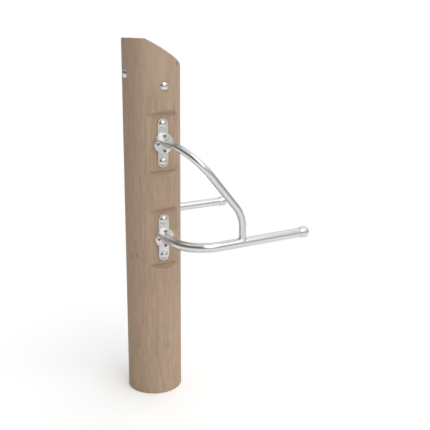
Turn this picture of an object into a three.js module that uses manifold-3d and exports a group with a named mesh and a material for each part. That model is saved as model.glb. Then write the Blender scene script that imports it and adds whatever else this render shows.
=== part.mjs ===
// Outdoor parallel bars: two short dip bars, each a bent steel handle, on one round timber post.
// The origin is the centre of the post's foot, +X is the way the bars point and +Z is up.
// Left and right are as seen from behind the post, looking the way the bars point.
// All lengths are millimetres and all angles are degrees.

import * as THREE from 'three';
import { mergeVertices } from 'three/addons/utils/BufferGeometryUtils.js';
import Module from 'manifold-3d';

const wasm = await Module();
wasm.setup();

// Clearance between pieces that touch, and how far a cutting shape runs past what it cuts
const TOUCH_GAP = 0.3;
const CUT_OVERRUN = 30;

// Timber post, with a level ledge at the back of its sloping top; its height follows from the
// heights of the brackets and from how far it stands above the middle of the upper ones
const POST_DIAMETER = 200;
const POST_ABOVE_BRACE = 349;
const TOP_LEDGE_WIDTH = 38;
const TOP_SLOPE_ANGLE = 30;

// Flat pockets milled into both sides of the post, one pair for each bracket level, with a
// margin above and below the plates, and ends that slope outwards from the flat
const POCKET_DEPTH = 20;
const POCKET_MARGIN = 14;
const POCKET_END_ANGLE = 38;
const BAR_HEIGHT = 598.5;
const BRACE_RISE = 337.5;

// Domed bolts and their domed cap nuts
const BOLT_DIAMETER = 12;
const BOLT_HEAD_DIAMETER = 30;
const BOLT_HEAD_HEIGHT = 8;
const BOLT_HEAD_RIM = 1.5;
const NUT_THREAD_DEPTH = 5;

// Two tie bolts that cross in the post's head and keep it from splitting
const TIE_BOLT_BELOW_RIM = 23.5;
const TIE_BOLT_SPACING = 38.5;
const SPOT_FACE_DEPTH = 1.5;
const SPOT_FACE_MARGIN = 2;

// Backing plates, with round ends and a round middle as wide as the flange on it, and the gap
// between that flange and the bolt heads above and below it
const PLATE_WIDTH = 40;
const PLATE_THICKNESS = 5;
const BOLT_HEAD_TO_FLANGE = 15;

// Round flanges on the tubes' ends, wide enough for the screw heads and a margin on both sides
const SCREW_HEAD_MARGIN = 2.075;
const FLANGE_THICKNESS = 10;
const FLANGE_CHAMFER = 1;
const WELD_LEG = 2.5;

// Button-head screws that hold a flange to its plate
const SCREW_COUNT = 4;
const SCREW_DIAMETER = 8;
const SCREW_HEAD_DIAMETER = 14;
const SCREW_HEAD_HEIGHT = 4.4;
const SCREW_HEAD_RIM = 0.8;
const SCREW_SOCKET_WIDTH = 5;
const SCREW_SOCKET_DEPTH = 2.6;

// Bars
const BAR_SPACING = 554;
const BAR_REACH = 490;
const BAR_DIAMETER = 33.7;
const BAR_WALL = 2.6;
const BAR_BEND_RADIUS = 110;

// Braces, which run down from the upper brackets and stand on the bars
const BRACE_DIAMETER = 25.4;
const BRACE_WALL = 2;
const BRACE_BEND_RADIUS = 118;
const BRACE_FOOT_REACH = 204.5;
const BRACE_KNEE_HEIGHT = 96.5;

// Swollen end caps over the bars' free ends
const CAP_LENGTH = 38;
const CAP_WALL = 3.35;
const CAP_MOUTH_WALL = 0.85;
const CAP_FLARE_LENGTH = 10;
const CAP_NOSE_RADIUS = 14;
const CAP_FRONT_WALL = 14;

// How finely round shapes are faceted
const POST_SIDES = 60;
const TUBE_SIDES = 20;
const BORE_SIDES = 12;
const FLANGE_SIDES = 28;
const HEAD_SIDES = 16;
const HOLE_SIDES = 12;
const SCREW_SIDES = 10;
const BOLT_DOME_STEPS = 3;
const SCREW_DOME_STEPS = 2;
const NOSE_STEPS = 4;
const BEND_STEP_ANGLE = 13;

// Sizes that follow from the ones above
const postRadius = POST_DIAMETER / 2;
const braceHeight = BAR_HEIGHT + BRACE_RISE;
const postHeight = braceHeight + POST_ABOVE_BRACE;
const topSlope = Math.tan(THREE.MathUtils.degToRad(TOP_SLOPE_ANGLE));
const topRimHeight = postHeight - (POST_DIAMETER - TOP_LEDGE_WIDTH) * topSlope;
const upperTieHeight = topRimHeight - TIE_BOLT_BELOW_RIM;
const lowerTieHeight = upperTieHeight - TIE_BOLT_SPACING;
const tieBoltSeat = postRadius - SPOT_FACE_DEPTH;
const barRadius = BAR_DIAMETER / 2;
const braceRadius = BRACE_DIAMETER / 2;
const flangeRadius = barRadius + SCREW_HEAD_DIAMETER + 2 * SCREW_HEAD_MARGIN;
const screwCircleRadius = flangeRadius - SCREW_HEAD_MARGIN - SCREW_HEAD_DIAMETER / 2;
const plateEndCentre = flangeRadius + BOLT_HEAD_TO_FLANGE + BOLT_HEAD_DIAMETER / 2;
const pocketHeight = 2 * plateEndCentre + PLATE_WIDTH + 2 * POCKET_MARGIN;
const pocketFace = postRadius - POCKET_DEPTH;
const plateBack = pocketFace + TOUCH_GAP;
const plateFront = plateBack + PLATE_THICKNESS;
const flangeBack = plateFront + TOUCH_GAP;
const flangeFront = flangeBack + FLANGE_THICKNESS;
const capBoreRadius = barRadius + TOUCH_GAP;
const boltHoleRadius = BOLT_DIAMETER / 2 + TOUCH_GAP;
const screwHoleRadius = SCREW_DIAMETER / 2 + TOUCH_GAP;
const halfSpacing = BAR_SPACING / 2;

const SIDES = [
  { name: 'right', sign: -1 },
  { name: 'left', sign: 1 },
];
const LEVELS = [
  { name: 'lower', height: BAR_HEIGHT, tubeRadius: barRadius },
  { name: 'upper', height: braceHeight, tubeRadius: braceRadius },
];

// The upper tie bolt runs along the bars' direction and the lower across it; a turn lays the
// local Z axis along the bolt, towards its head
const TIES = [
  { name: 'tie_upper', height: upperTieHeight, turn: [0, -90, 0] },
  { name: 'tie_lower', height: lowerTieHeight, turn: [90, 0, 0] },
];

// Finishes
function timber() {
  return new THREE.MeshStandardMaterial({ color: 0xb39a7c, roughness: 0.82, metalness: 0 });
}

function brushedSteel() {
  return new THREE.MeshStandardMaterial({ color: 0xcfcfcd, roughness: 0.32, metalness: 1 });
}

function castSteel() {
  return new THREE.MeshStandardMaterial({ color: 0xc4c4c2, roughness: 0.4, metalness: 1 });
}

// Turns a closed three.js geometry into a solid that can be cut and joined
function solidFrom(geometry) {
  const bare = geometry.clone();
  bare.deleteAttribute('normal');
  bare.deleteAttribute('uv');
  const merged = mergeVertices(bare);
  const corners = merged.index.array;
  const kept = [];
  for (let i = 0; i < corners.length; i += 3) {
    const [a, b, c] = [corners[i], corners[i + 1], corners[i + 2]];
    if (a !== b && b !== c && c !== a) kept.push(a, b, c);
  }
  return new wasm.Manifold(new wasm.Mesh({
    numProp: 3,
    vertProperties: new Float32Array(merged.attributes.position.array),
    triVerts: new Uint32Array(kept),
  }));
}

function namedMesh(name, solid, material) {
  const { vertProperties, triVerts } = solid.getMesh();
  const geometry = new THREE.BufferGeometry();
  geometry.setAttribute('position', new THREE.BufferAttribute(vertProperties, 3));
  geometry.setIndex(new THREE.BufferAttribute(triVerts, 1));
  geometry.computeVertexNormals();
  const mesh = new THREE.Mesh(geometry, material);
  mesh.name = name;
  return mesh;
}

// A profile of [radius, place along the axis] points turned round the local Z axis
function turned(profile, sides) {
  const points = profile.map(([radius, along]) => new THREE.Vector2(radius, along));
  return solidFrom(new THREE.LatheGeometry(points, sides).rotateX(Math.PI / 2));
}

function rod(radius, length, sides) {
  return solidFrom(new THREE.CylinderGeometry(radius, radius, length, sides).rotateX(Math.PI / 2));
}

// The points of a low dome, from the top of its rim to its crown on the axis
function domePoints(radius, rim, height, steps) {
  const rise = height - rim;
  const sphere = (radius * radius + rise * rise) / (2 * rise);
  const halfAngle = Math.asin(radius / sphere);
  const points = [];
  for (let step = 0; step < steps; step += 1) {
    const angle = halfAngle * (1 - step / steps);
    points.push([sphere * Math.sin(angle), height - sphere * (1 - Math.cos(angle))]);
  }
  points.push([0, height]);
  return points;
}

// A tube's centreline: straight runs joined by bends, with a section only at the runs' ends and
// at even steps round each bend
class BentCentreline extends THREE.Curve {
  constructor(corners, bendRadius) {
    super();
    const stepAngle = THREE.MathUtils.degToRad(BEND_STEP_ANGLE);
    const directions = [];
    for (let i = 1; i < corners.length; i += 1) {
      directions.push(corners[i].clone().sub(corners[i - 1]).normalize());
    }
    this.stations = [{ point: corners[0], tangent: directions[0] }];
    for (let i = 1; i < corners.length - 1; i += 1) {
      const [into, out] = [directions[i - 1], directions[i]];
      const turn = into.angleTo(out);
      const start = corners[i].clone().addScaledVector(into, -bendRadius * Math.tan(turn / 2));
      const inward = out.clone().addScaledVector(into, -out.dot(into)).normalize();
      const steps = Math.ceil(turn / stepAngle);
      for (let step = 0; step <= steps; step += 1) {
        const angle = (turn * step) / steps;
        const point = start.clone()
          .addScaledVector(into, bendRadius * Math.sin(angle))
          .addScaledVector(inward, bendRadius * (1 - Math.cos(angle)));
        const tangent = into.clone().multiplyScalar(Math.cos(angle))
          .addScaledVector(inward, Math.sin(angle));
        this.stations.push({ point, tangent });
      }
    }
    this.stations.push({ point: corners.at(-1), tangent: directions.at(-1) });
  }

  station(share) {
    return this.stations[Math.round(share * (this.stations.length - 1))];
  }

  getPointAt(share, target = new THREE.Vector3()) {
    return target.copy(this.station(share).point);
  }

  getTangentAt(share, target = new THREE.Vector3()) {
    return target.copy(this.station(share).tangent);
  }
}

function circlePath(x, y, radius) {
  const path = new THREE.Path();
  path.absarc(x, y, radius, 0, 2 * Math.PI);
  return path;
}

function polygonPath(radius, sides) {
  const path = new THREE.Path();
  for (let i = 0; i < sides; i += 1) {
    const angle = (2 * Math.PI * i) / sides;
    const [x, y] = [radius * Math.cos(angle), radius * Math.sin(angle)];
    if (i === 0) path.moveTo(x, y);
    else path.lineTo(x, y);
  }
  return path;
}

function bentTube(corners, bendRadius, outerRadius, wall) {
  const centreline = new BentCentreline(corners, bendRadius);
  const section = new THREE.Shape();
  section.absarc(0, 0, outerRadius, 0, 2 * Math.PI);
  section.holes.push(polygonPath(outerRadius - wall, BORE_SIDES));
  return solidFrom(new THREE.ExtrudeGeometry(section, {
    steps: centreline.stations.length - 1,
    curveSegments: TUBE_SIDES / 2,
    extrudePath: centreline,
  }));
}

// The post: a round log, its top cut to a slope, with pockets, bolt holes and spot faces
function postSolid() {
  const log = new THREE.CylinderGeometry(postRadius, postRadius, postHeight, POST_SIDES)
    .rotateX(Math.PI / 2)
    .translate(0, 0, postHeight / 2);
  let solid = solidFrom(log);

  const slopeStart = TOP_LEDGE_WIDTH - postRadius;
  const slopeEnd = postRadius + CUT_OVERRUN;
  const offcut = new THREE.Shape();
  offcut.moveTo(slopeStart, postHeight);
  offcut.lineTo(slopeEnd, postHeight - (slopeEnd - slopeStart) * topSlope);
  offcut.lineTo(slopeEnd, postHeight + CUT_OVERRUN);
  offcut.lineTo(slopeStart, postHeight + CUT_OVERRUN);
  const cutWidth = POST_DIAMETER + 2 * CUT_OVERRUN;
  solid = solid.subtract(solidFrom(
    new THREE.ExtrudeGeometry(offcut, { depth: cutWidth, bevelEnabled: false })
      .rotateX(Math.PI / 2)
      .translate(0, cutWidth / 2, 0),
  ));

  const pocketEnd = pocketHeight / 2;
  const pocketMouth = pocketFace + POCKET_DEPTH + CUT_OVERRUN;
  const mouthEnd = pocketEnd
    + (pocketMouth - pocketFace) * Math.tan(THREE.MathUtils.degToRad(POCKET_END_ANGLE));
  const pocketSection = new THREE.Shape();
  pocketSection.moveTo(pocketFace, -pocketEnd);
  pocketSection.lineTo(pocketMouth, -mouthEnd);
  pocketSection.lineTo(pocketMouth, mouthEnd);
  pocketSection.lineTo(pocketFace, pocketEnd);
  const pocket = solidFrom(
    new THREE.ExtrudeGeometry(pocketSection, { depth: POST_DIAMETER, bevelEnabled: false })
      .translate(0, 0, -postRadius)
      .rotateX(Math.PI / 2)
      .rotateZ(Math.PI / 2),
  );
  for (const level of LEVELS) {
    for (const turn of [0, 180]) {
      solid = solid.subtract(pocket.rotate([0, 0, turn]).translate([0, 0, level.height]));
    }
    for (const end of [-1, 1]) {
      const hole = rod(boltHoleRadius, cutWidth, HOLE_SIDES)
        .rotate([90, 0, 0])
        .translate([0, 0, level.height + end * plateEndCentre]);
      solid = solid.subtract(hole);
    }
  }

  const spotFaceRun = SPOT_FACE_DEPTH + CUT_OVERRUN;
  const spotFaceRadius = BOLT_HEAD_DIAMETER / 2 + SPOT_FACE_MARGIN;
  for (const tie of TIES) {
    const faces = [-1, 1].map((end) => rod(spotFaceRadius, spotFaceRun, HEAD_SIDES)
      .translate([0, 0, end * (tieBoltSeat + spotFaceRun / 2)]));
    const cutter = rod(boltHoleRadius, cutWidth, HOLE_SIDES).add(faces[0]).add(faces[1]);
    solid = solid.subtract(cutter.rotate(tie.turn).translate([0, 0, tie.height]));
  }
  return solid;
}

function boltDomePoints() {
  return domePoints(BOLT_HEAD_DIAMETER / 2, BOLT_HEAD_RIM, BOLT_HEAD_HEIGHT, BOLT_DOME_STEPS);
}

// A domed bolt along the local Z axis, between two seats that lie equally far from the origin
function boltSolid(seat) {
  const shankEnd = -(seat + NUT_THREAD_DEPTH);
  const head = seat + TOUCH_GAP;
  return turned([
    [0, shankEnd],
    [BOLT_DIAMETER / 2, shankEnd],
    [BOLT_DIAMETER / 2, head],
    [BOLT_HEAD_DIAMETER / 2, head],
    ...boltDomePoints().map(([radius, along]) => [radius, head + along]),
  ], HEAD_SIDES);
}

function capNutSolid() {
  return turned([
    [0, NUT_THREAD_DEPTH],
    [boltHoleRadius, NUT_THREAD_DEPTH],
    [boltHoleRadius, 0],
    [BOLT_HEAD_DIAMETER / 2, 0],
    ...boltDomePoints(),
  ], HEAD_SIDES);
}

// A bolt through the post with its head on the right or at the back, and the nut opposite
function boltedPair(name, seat) {
  const pair = new THREE.Group();
  pair.add(namedMesh(`${name}_bolt`, boltSolid(seat), brushedSteel()));
  const nut = namedMesh(`${name}_nut`, capNutSolid(), brushedSteel());
  nut.rotation.x = Math.PI;
  nut.position.z = -(seat + TOUCH_GAP);
  pair.add(nut);
  return pair;
}

// A backing plate, flat in the local XY plane with its back face at zero
function plateSolid() {
  const bulge = Math.acos(PLATE_WIDTH / 2 / flangeRadius);
  const outline = new THREE.Shape();
  outline.absarc(0, plateEndCentre, PLATE_WIDTH / 2, 0, Math.PI);
  outline.absarc(0, 0, flangeRadius, Math.PI - bulge, Math.PI + bulge);
  outline.absarc(0, -plateEndCentre, PLATE_WIDTH / 2, Math.PI, 2 * Math.PI);
  outline.absarc(0, 0, flangeRadius, -bulge, bulge);
  for (const end of [-1, 1]) {
    outline.holes.push(circlePath(0, end * plateEndCentre, boltHoleRadius));
  }
  for (const { x, y } of screwPlaces()) {
    outline.holes.push(circlePath(x, y, screwHoleRadius));
  }
  return solidFrom(new THREE.ExtrudeGeometry(outline, {
    depth: PLATE_THICKNESS,
    bevelEnabled: false,
    curveSegments: HOLE_SIDES / 2,
  }));
}

function screwPlaces() {
  const places = [];
  for (let i = 0; i < SCREW_COUNT; i += 1) {
    const angle = (2 * Math.PI * i) / SCREW_COUNT;
    places.push({ x: screwCircleRadius * Math.cos(angle), y: screwCircleRadius * Math.sin(angle) });
  }
  return places;
}

// A flange, with its back face at zero and the bore chamfered there for the weld
function flangeSolid(tubeRadius) {
  const bore = tubeRadius + TOUCH_GAP;
  let solid = turned([
    [bore + WELD_LEG, 0],
    [flangeRadius, 0],
    [flangeRadius, FLANGE_THICKNESS - FLANGE_CHAMFER],
    [flangeRadius - FLANGE_CHAMFER, FLANGE_THICKNESS],
    [bore, FLANGE_THICKNESS],
    [bore, WELD_LEG],
    [bore + WELD_LEG, 0],
  ], FLANGE_SIDES);
  for (const { x, y } of screwPlaces()) {
    const hole = rod(screwHoleRadius, FLANGE_THICKNESS + 2 * CUT_OVERRUN, SCREW_SIDES);
    solid = solid.subtract(hole.translate([x, y, 0]));
  }
  return solid;
}

// The weld bead that fills the chamfer behind a flange
function flangeWeldSolid(tubeRadius) {
  const inner = tubeRadius + TOUCH_GAP;
  const leg = WELD_LEG - Math.SQRT2 * TOUCH_GAP;
  return turned([[inner, 0], [inner + leg, 0], [inner, leg], [inner, 0]], TUBE_SIDES);
}

// A button-head screw, with its head's underside at zero
function screwSolid() {
  const shankEnd = plateBack - flangeFront;
  const screw = turned([
    [0, shankEnd],
    [SCREW_DIAMETER / 2, shankEnd],
    [SCREW_DIAMETER / 2, 0],
    [SCREW_HEAD_DIAMETER / 2, 0],
    ...domePoints(SCREW_HEAD_DIAMETER / 2, SCREW_HEAD_RIM, SCREW_HEAD_HEIGHT, SCREW_DOME_STEPS),
  ], SCREW_SIDES);
  const socketRun = SCREW_SOCKET_DEPTH + CUT_OVERRUN;
  const socketMiddle = SCREW_HEAD_HEIGHT - SCREW_SOCKET_DEPTH + socketRun / 2;
  const socket = rod(SCREW_SOCKET_WIDTH / Math.sqrt(3), socketRun, 6).translate([0, 0, socketMiddle]);
  return screw.subtract(socket);
}

// What is bolted to one pocket: plate, flange, weld and screws, outward along the local Z axis
function bracket(level, side) {
  const group = new THREE.Group();
  const plate = namedMesh(`backing_plate_${level.name}_${side.name}`, plateSolid(), castSteel());
  plate.position.z = plateBack;
  const flange = namedMesh(
    `flange_${level.name}_${side.name}`, flangeSolid(level.tubeRadius), brushedSteel());
  flange.position.z = flangeBack;
  const weld = namedMesh(
    `flange_weld_${level.name}_${side.name}`, flangeWeldSolid(level.tubeRadius), castSteel());
  weld.position.z = flangeBack;
  group.add(plate, flange, weld);
  screwPlaces().forEach(({ x, y }, i) => {
    const name = `flange_screw_${level.name}_${side.name}_${i + 1}`;
    const screw = namedMesh(name, screwSolid(), brushedSteel());
    screw.position.set(x, y, flangeFront + TOUCH_GAP);
    group.add(screw);
  });
  group.position.z = level.height;
  group.rotation.x = -side.sign * Math.PI / 2;
  return group;
}

// A handle: bar, brace, the weld between them and the cap, in a frame at the bars' height
function handle(side) {
  const group = new THREE.Group();
  const across = side.sign * halfSpacing;
  const start = side.sign * flangeBack;

  const barEnd = BAR_REACH - CAP_FRONT_WALL - TOUCH_GAP;
  const bar = bentTube([
    new THREE.Vector3(0, start, 0),
    new THREE.Vector3(0, across, 0),
    new THREE.Vector3(barEnd, across, 0),
  ], BAR_BEND_RADIUS, barRadius, BAR_WALL);
  group.add(namedMesh(`bar_tube_${side.name}`, bar, brushedSteel()));

  const braceBlank = bentTube([
    new THREE.Vector3(0, start, BRACE_RISE),
    new THREE.Vector3(0, across, BRACE_RISE),
    new THREE.Vector3(BRACE_FOOT_REACH, across, BRACE_KNEE_HEIGHT),
    new THREE.Vector3(BRACE_FOOT_REACH, across, 0),
  ], BRACE_BEND_RADIUS, braceRadius, BRACE_WALL);
  const sleeveLength = BRACE_DIAMETER + 2 * CUT_OVERRUN;
  const lying = (extra) => rod(barRadius + extra, sleeveLength, TUBE_SIDES)
    .rotate([0, 90, 0])
    .translate([BRACE_FOOT_REACH, across, 0]);
  const standing = (extra) => rod(braceRadius + extra, sleeveLength, TUBE_SIDES)
    .translate([BRACE_FOOT_REACH, across, sleeveLength / 2]);
  const brace = braceBlank.subtract(lying(TOUCH_GAP));
  group.add(namedMesh(`brace_tube_${side.name}`, brace, brushedSteel()));

  const bead = standing(WELD_LEG).intersect(lying(WELD_LEG))
    .subtract(lying(TOUCH_GAP))
    .subtract(standing(TOUCH_GAP));
  group.add(namedMesh(`brace_foot_weld_${side.name}`, bead, castSteel()));

  const cap = namedMesh(`end_cap_${side.name}`, capSolid(), brushedSteel());
  cap.position.set(BAR_REACH - CAP_LENGTH, across, 0);
  cap.rotation.y = Math.PI / 2;
  group.add(cap);

  group.position.z = BAR_HEIGHT;
  return group;
}

// An end cap, with its mouth at zero and its round nose up the local Z axis
function capSolid() {
  const boreDepth = CAP_LENGTH - CAP_FRONT_WALL;
  const noseStart = CAP_LENGTH - CAP_NOSE_RADIUS;
  const noseCentre = capBoreRadius + CAP_WALL - CAP_NOSE_RADIUS;
  const profile = [
    [0, boreDepth],
    [capBoreRadius, boreDepth],
    [capBoreRadius, 0],
    [capBoreRadius + CAP_MOUTH_WALL, 0],
    [capBoreRadius + CAP_WALL, CAP_FLARE_LENGTH],
  ];
  for (let step = 0; step <= NOSE_STEPS; step += 1) {
    const angle = (Math.PI / 2) * (step / NOSE_STEPS);
    profile.push([
      noseCentre + CAP_NOSE_RADIUS * Math.cos(angle),
      noseStart + CAP_NOSE_RADIUS * Math.sin(angle),
    ]);
  }
  profile.push([0, CAP_LENGTH]);
  return turned(profile, TUBE_SIDES);
}

const parallelBars = new THREE.Group();
parallelBars.add(namedMesh('timber_post', postSolid(), timber()));

for (const tie of TIES) {
  const pair = boltedPair(tie.name, tieBoltSeat);
  pair.rotation.set(...tie.turn.map((angle) => THREE.MathUtils.degToRad(angle)));
  pair.position.z = tie.height;
  parallelBars.add(pair);
}

for (const level of LEVELS) {
  for (const [endName, end] of [['bottom', -1], ['top', 1]]) {
    const pair = boltedPair(`plate_${level.name}_${endName}`, plateFront);
    pair.rotation.x = Math.PI / 2;
    pair.position.z = level.height + end * plateEndCentre;
    parallelBars.add(pair);
  }
  for (const side of SIDES) {
    parallelBars.add(bracket(level, side));
  }
}

for (const side of SIDES) {
  parallelBars.add(handle(side));
}

export default parallelBars;
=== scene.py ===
import math

import bmesh
import bpy
from mathutils import Matrix, Vector, noise


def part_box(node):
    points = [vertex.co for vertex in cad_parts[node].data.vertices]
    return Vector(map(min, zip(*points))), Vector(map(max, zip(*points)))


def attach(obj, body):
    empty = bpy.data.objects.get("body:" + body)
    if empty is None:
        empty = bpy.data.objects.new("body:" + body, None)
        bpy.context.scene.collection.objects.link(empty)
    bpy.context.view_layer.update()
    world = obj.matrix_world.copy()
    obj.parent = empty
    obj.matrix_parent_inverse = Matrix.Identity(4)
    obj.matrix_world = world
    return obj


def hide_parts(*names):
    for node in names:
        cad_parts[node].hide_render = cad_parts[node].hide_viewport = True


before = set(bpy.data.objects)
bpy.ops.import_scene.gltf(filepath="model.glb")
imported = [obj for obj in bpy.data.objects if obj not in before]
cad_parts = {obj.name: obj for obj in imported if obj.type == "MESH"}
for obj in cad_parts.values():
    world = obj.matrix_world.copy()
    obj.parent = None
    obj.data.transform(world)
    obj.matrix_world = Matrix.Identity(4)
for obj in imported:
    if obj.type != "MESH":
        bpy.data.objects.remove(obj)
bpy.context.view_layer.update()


# The post is one peeled softwood log, turned to an even round. Its head is sawn to a slope that
# sheds rain and leaves a narrow level ledge at the back, and a flat pocket with sloping ends is
# milled into both sides at each bracket, so that the plates bear on a flat face.
LEDGE_WIDTH = 0.038
HEAD_SLOPE = math.radians(30)
POCKET_DEPTH = 0.020
POCKET_MARGIN = 0.014
POCKET_END_SLOPE = math.radians(38)
POCKET_END_ROOM = 0.020
ARRIS = 0.0008
RIM_ROUNDING = 0.0015
RIM_HALFWAY = 0.3
POST_RELIEF = 0.0004
RELIEF_WAVES_ROUND = 3
RELIEF_WAVES_ALONG = 9
BOLT_HOLE_RADIUS = 0.0063
SPOT_FACE_RADIUS = 0.017
SPOT_FACE_DEPTH = 0.0015
SPOT_FACE_SIDES = 64
ROW_STEP = 0.006
TURN_STEP = math.radians(2)
CUT_OVERRUN = 0.03
SMALLEST_EDGE = 2e-6
SHARP_ABOVE = math.radians(32)
LEVELS = ("lower", "upper")
PLATE_ENDS = ("bottom", "top")


def middle(node):
    """The middle of a node's box."""
    low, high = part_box(node)
    return (low + high) / 2


post_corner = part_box("timber_post")[1]
post_radius = post_corner.x
post_height = post_corner.z
flat_distance = post_radius - POCKET_DEPTH
ledge_edge = LEDGE_WIDTH - post_radius
bracket_height = {level: middle(f"flange_{level}_right").z for level in LEVELS}
plate_low, plate_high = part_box("backing_plate_lower_right")
pocket_half = (plate_high.z - plate_low.z) / 2 + POCKET_MARGIN


def new_object(name, mesh):
    piece = bpy.data.objects.new(name, mesh)
    bpy.context.scene.collection.objects.link(piece)
    return piece


def mesh_from(name, build, smooth_below=SHARP_ABOVE):
    """A mesh filled in by a function, smooth but for its sharp edges."""
    bm = bmesh.new()
    build(bm)
    bmesh.ops.recalc_face_normals(bm, faces=bm.faces)
    mesh = bpy.data.meshes.new(name)
    bm.to_mesh(mesh)
    bm.free()
    mesh.shade_smooth()
    mesh.set_sharp_from_angle(angle=smooth_below)
    return mesh


def ring_of(bm, points):
    return [bm.verts.new(point) for point in points]


def bridge(bm, lower, upper):
    """Faces between two rings; a ring of one vertex is a point."""
    count = max(len(lower), len(upper))
    for i in range(count):
        j = (i + 1) % count
        corners = [lower[i % len(lower)], lower[j % len(lower)],
                   upper[j % len(upper)], upper[i % len(upper)]]
        distinct = [c for k, c in enumerate(corners) if c not in corners[:k]]
        if len(distinct) > 2:
            bm.faces.new(distinct)


def turned(name, profile, sides, closed=False):
    """A profile of (radius, height) points turned round the local Z axis."""
    def build(bm):
        rings = []
        for radius, height in profile:
            count = sides if radius > 0 else 1
            angles = [2 * math.pi * i / count for i in range(count)]
            rings.append(ring_of(bm, [
                (radius * math.cos(a), radius * math.sin(a), height) for a in angles]))
        for lower, upper in zip(rings, rings[1:]):
            bridge(bm, lower, upper)
        if closed:
            bridge(bm, rings[-1], rings[0])
    return mesh_from(name, build)


def cut(mesh, cutters):
    """The mesh with closed cutter meshes, each with its place, taken out of it."""
    body = new_object("cut_body", mesh)
    tools = []
    for cutter, place in cutters:
        tool = new_object("cut_tool", cutter)
        tool.matrix_world = place
        tools.append(tool)
        modifier = body.modifiers.new("cut", "BOOLEAN")
        modifier.object = tool
        modifier.operation = "DIFFERENCE"
        modifier.solver = "EXACT"
    bpy.context.view_layer.update()
    evaluated = body.evaluated_get(bpy.context.evaluated_depsgraph_get())
    result = bpy.data.meshes.new_from_object(evaluated)
    for spare in [body, *tools]:
        bpy.data.objects.remove(spare)

    # A cut can leave doubled points, slivers or a missing triangle on the surface
    bm = bmesh.new()
    bm.from_mesh(result)
    bmesh.ops.remove_doubles(bm, verts=bm.verts, dist=SMALLEST_EDGE)
    bmesh.ops.dissolve_degenerate(bm, edges=bm.edges, dist=SMALLEST_EDGE)
    bmesh.ops.holes_fill(bm, edges=[edge for edge in bm.edges if edge.is_boundary])
    bm.to_mesh(result)
    bm.free()
    result.shade_smooth()
    result.set_sharp_from_angle(angle=SHARP_ABOVE)
    return result


def drill(radius, length, sides=32):
    """A plain round cutter, its middle at the local origin."""
    half = length / 2
    return turned("drill", [(0, -half), (radius, -half), (radius, half), (0, half)], sides)


def post_angles():
    """Angles round the post, with one at each edge of the flats and of the ledge."""
    flat_edge = math.asin(flat_distance / post_radius)
    ledge_angle = math.acos(ledge_edge / post_radius)
    edges = [-flat_edge, flat_edge, math.pi - flat_edge, ledge_angle,
             2 * math.pi - ledge_angle, math.pi + flat_edge, 2 * math.pi - flat_edge]
    edges.sort()
    angles = []
    for start, end in zip(edges, edges[1:]):
        steps = max(1, round((end - start) / TURN_STEP))
        angles += [start + (end - start) * i / steps for i in range(steps)]
    return angles


def round_radius(angle, height):
    """The turned surface wanders in and out a little, but never past the log's size."""
    x = RELIEF_WAVES_ROUND * math.cos(angle)
    y = RELIEF_WAVES_ROUND * math.sin(angle)
    wave = noise.noise(Vector((x, y, RELIEF_WAVES_ALONG * height)))
    return post_radius - POST_RELIEF * (1 + wave) / 2


def on_post(angle, height, reach=None):
    """A point on the turned round, planed off where it reaches further out than a flat."""
    radius = round_radius(angle, height)
    out = radius * abs(math.sin(angle))
    if reach is not None:
        out = min(out, reach)
    return (radius * math.cos(angle), math.copysign(out, math.sin(angle)), height)


def even_steps(start, end, step):
    count = max(1, round((end - start) / step))
    return [start + (end - start) * i / count for i in range(1, count)]


def pocket_end_rows(inner, way):
    """Rows of points from the round, over the arris and down a sloping end to the flat."""
    fall = way * math.tan(POCKET_END_SLOPE)

    def arc(angle):
        depth = max(0, post_radius * abs(math.sin(angle)) - flat_distance)
        return inner + fall * depth + way * ARRIS

    def between(share):
        level = inner + way * POCKET_END_ROOM
        return lambda angle: on_post(angle, level + (arc(angle) - level) * share)

    def lip(angle):
        reach = max(flat_distance, post_radius * abs(math.sin(angle)) - ARRIS)
        return on_post(angle, inner + fall * (reach - flat_distance), reach)

    rows = [between(share) for share in (0, 0.25, 0.5, 0.75, 1)]
    rows += [lip, lambda angle: on_post(angle, inner, flat_distance)]
    return rows if way < 0 else rows[::-1]


def head_height(angle):
    """The height of the sawn head above a point of the round."""
    x = post_radius * math.cos(angle)
    return post_height - max(0, x - ledge_edge) * math.tan(HEAD_SLOPE)


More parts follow.
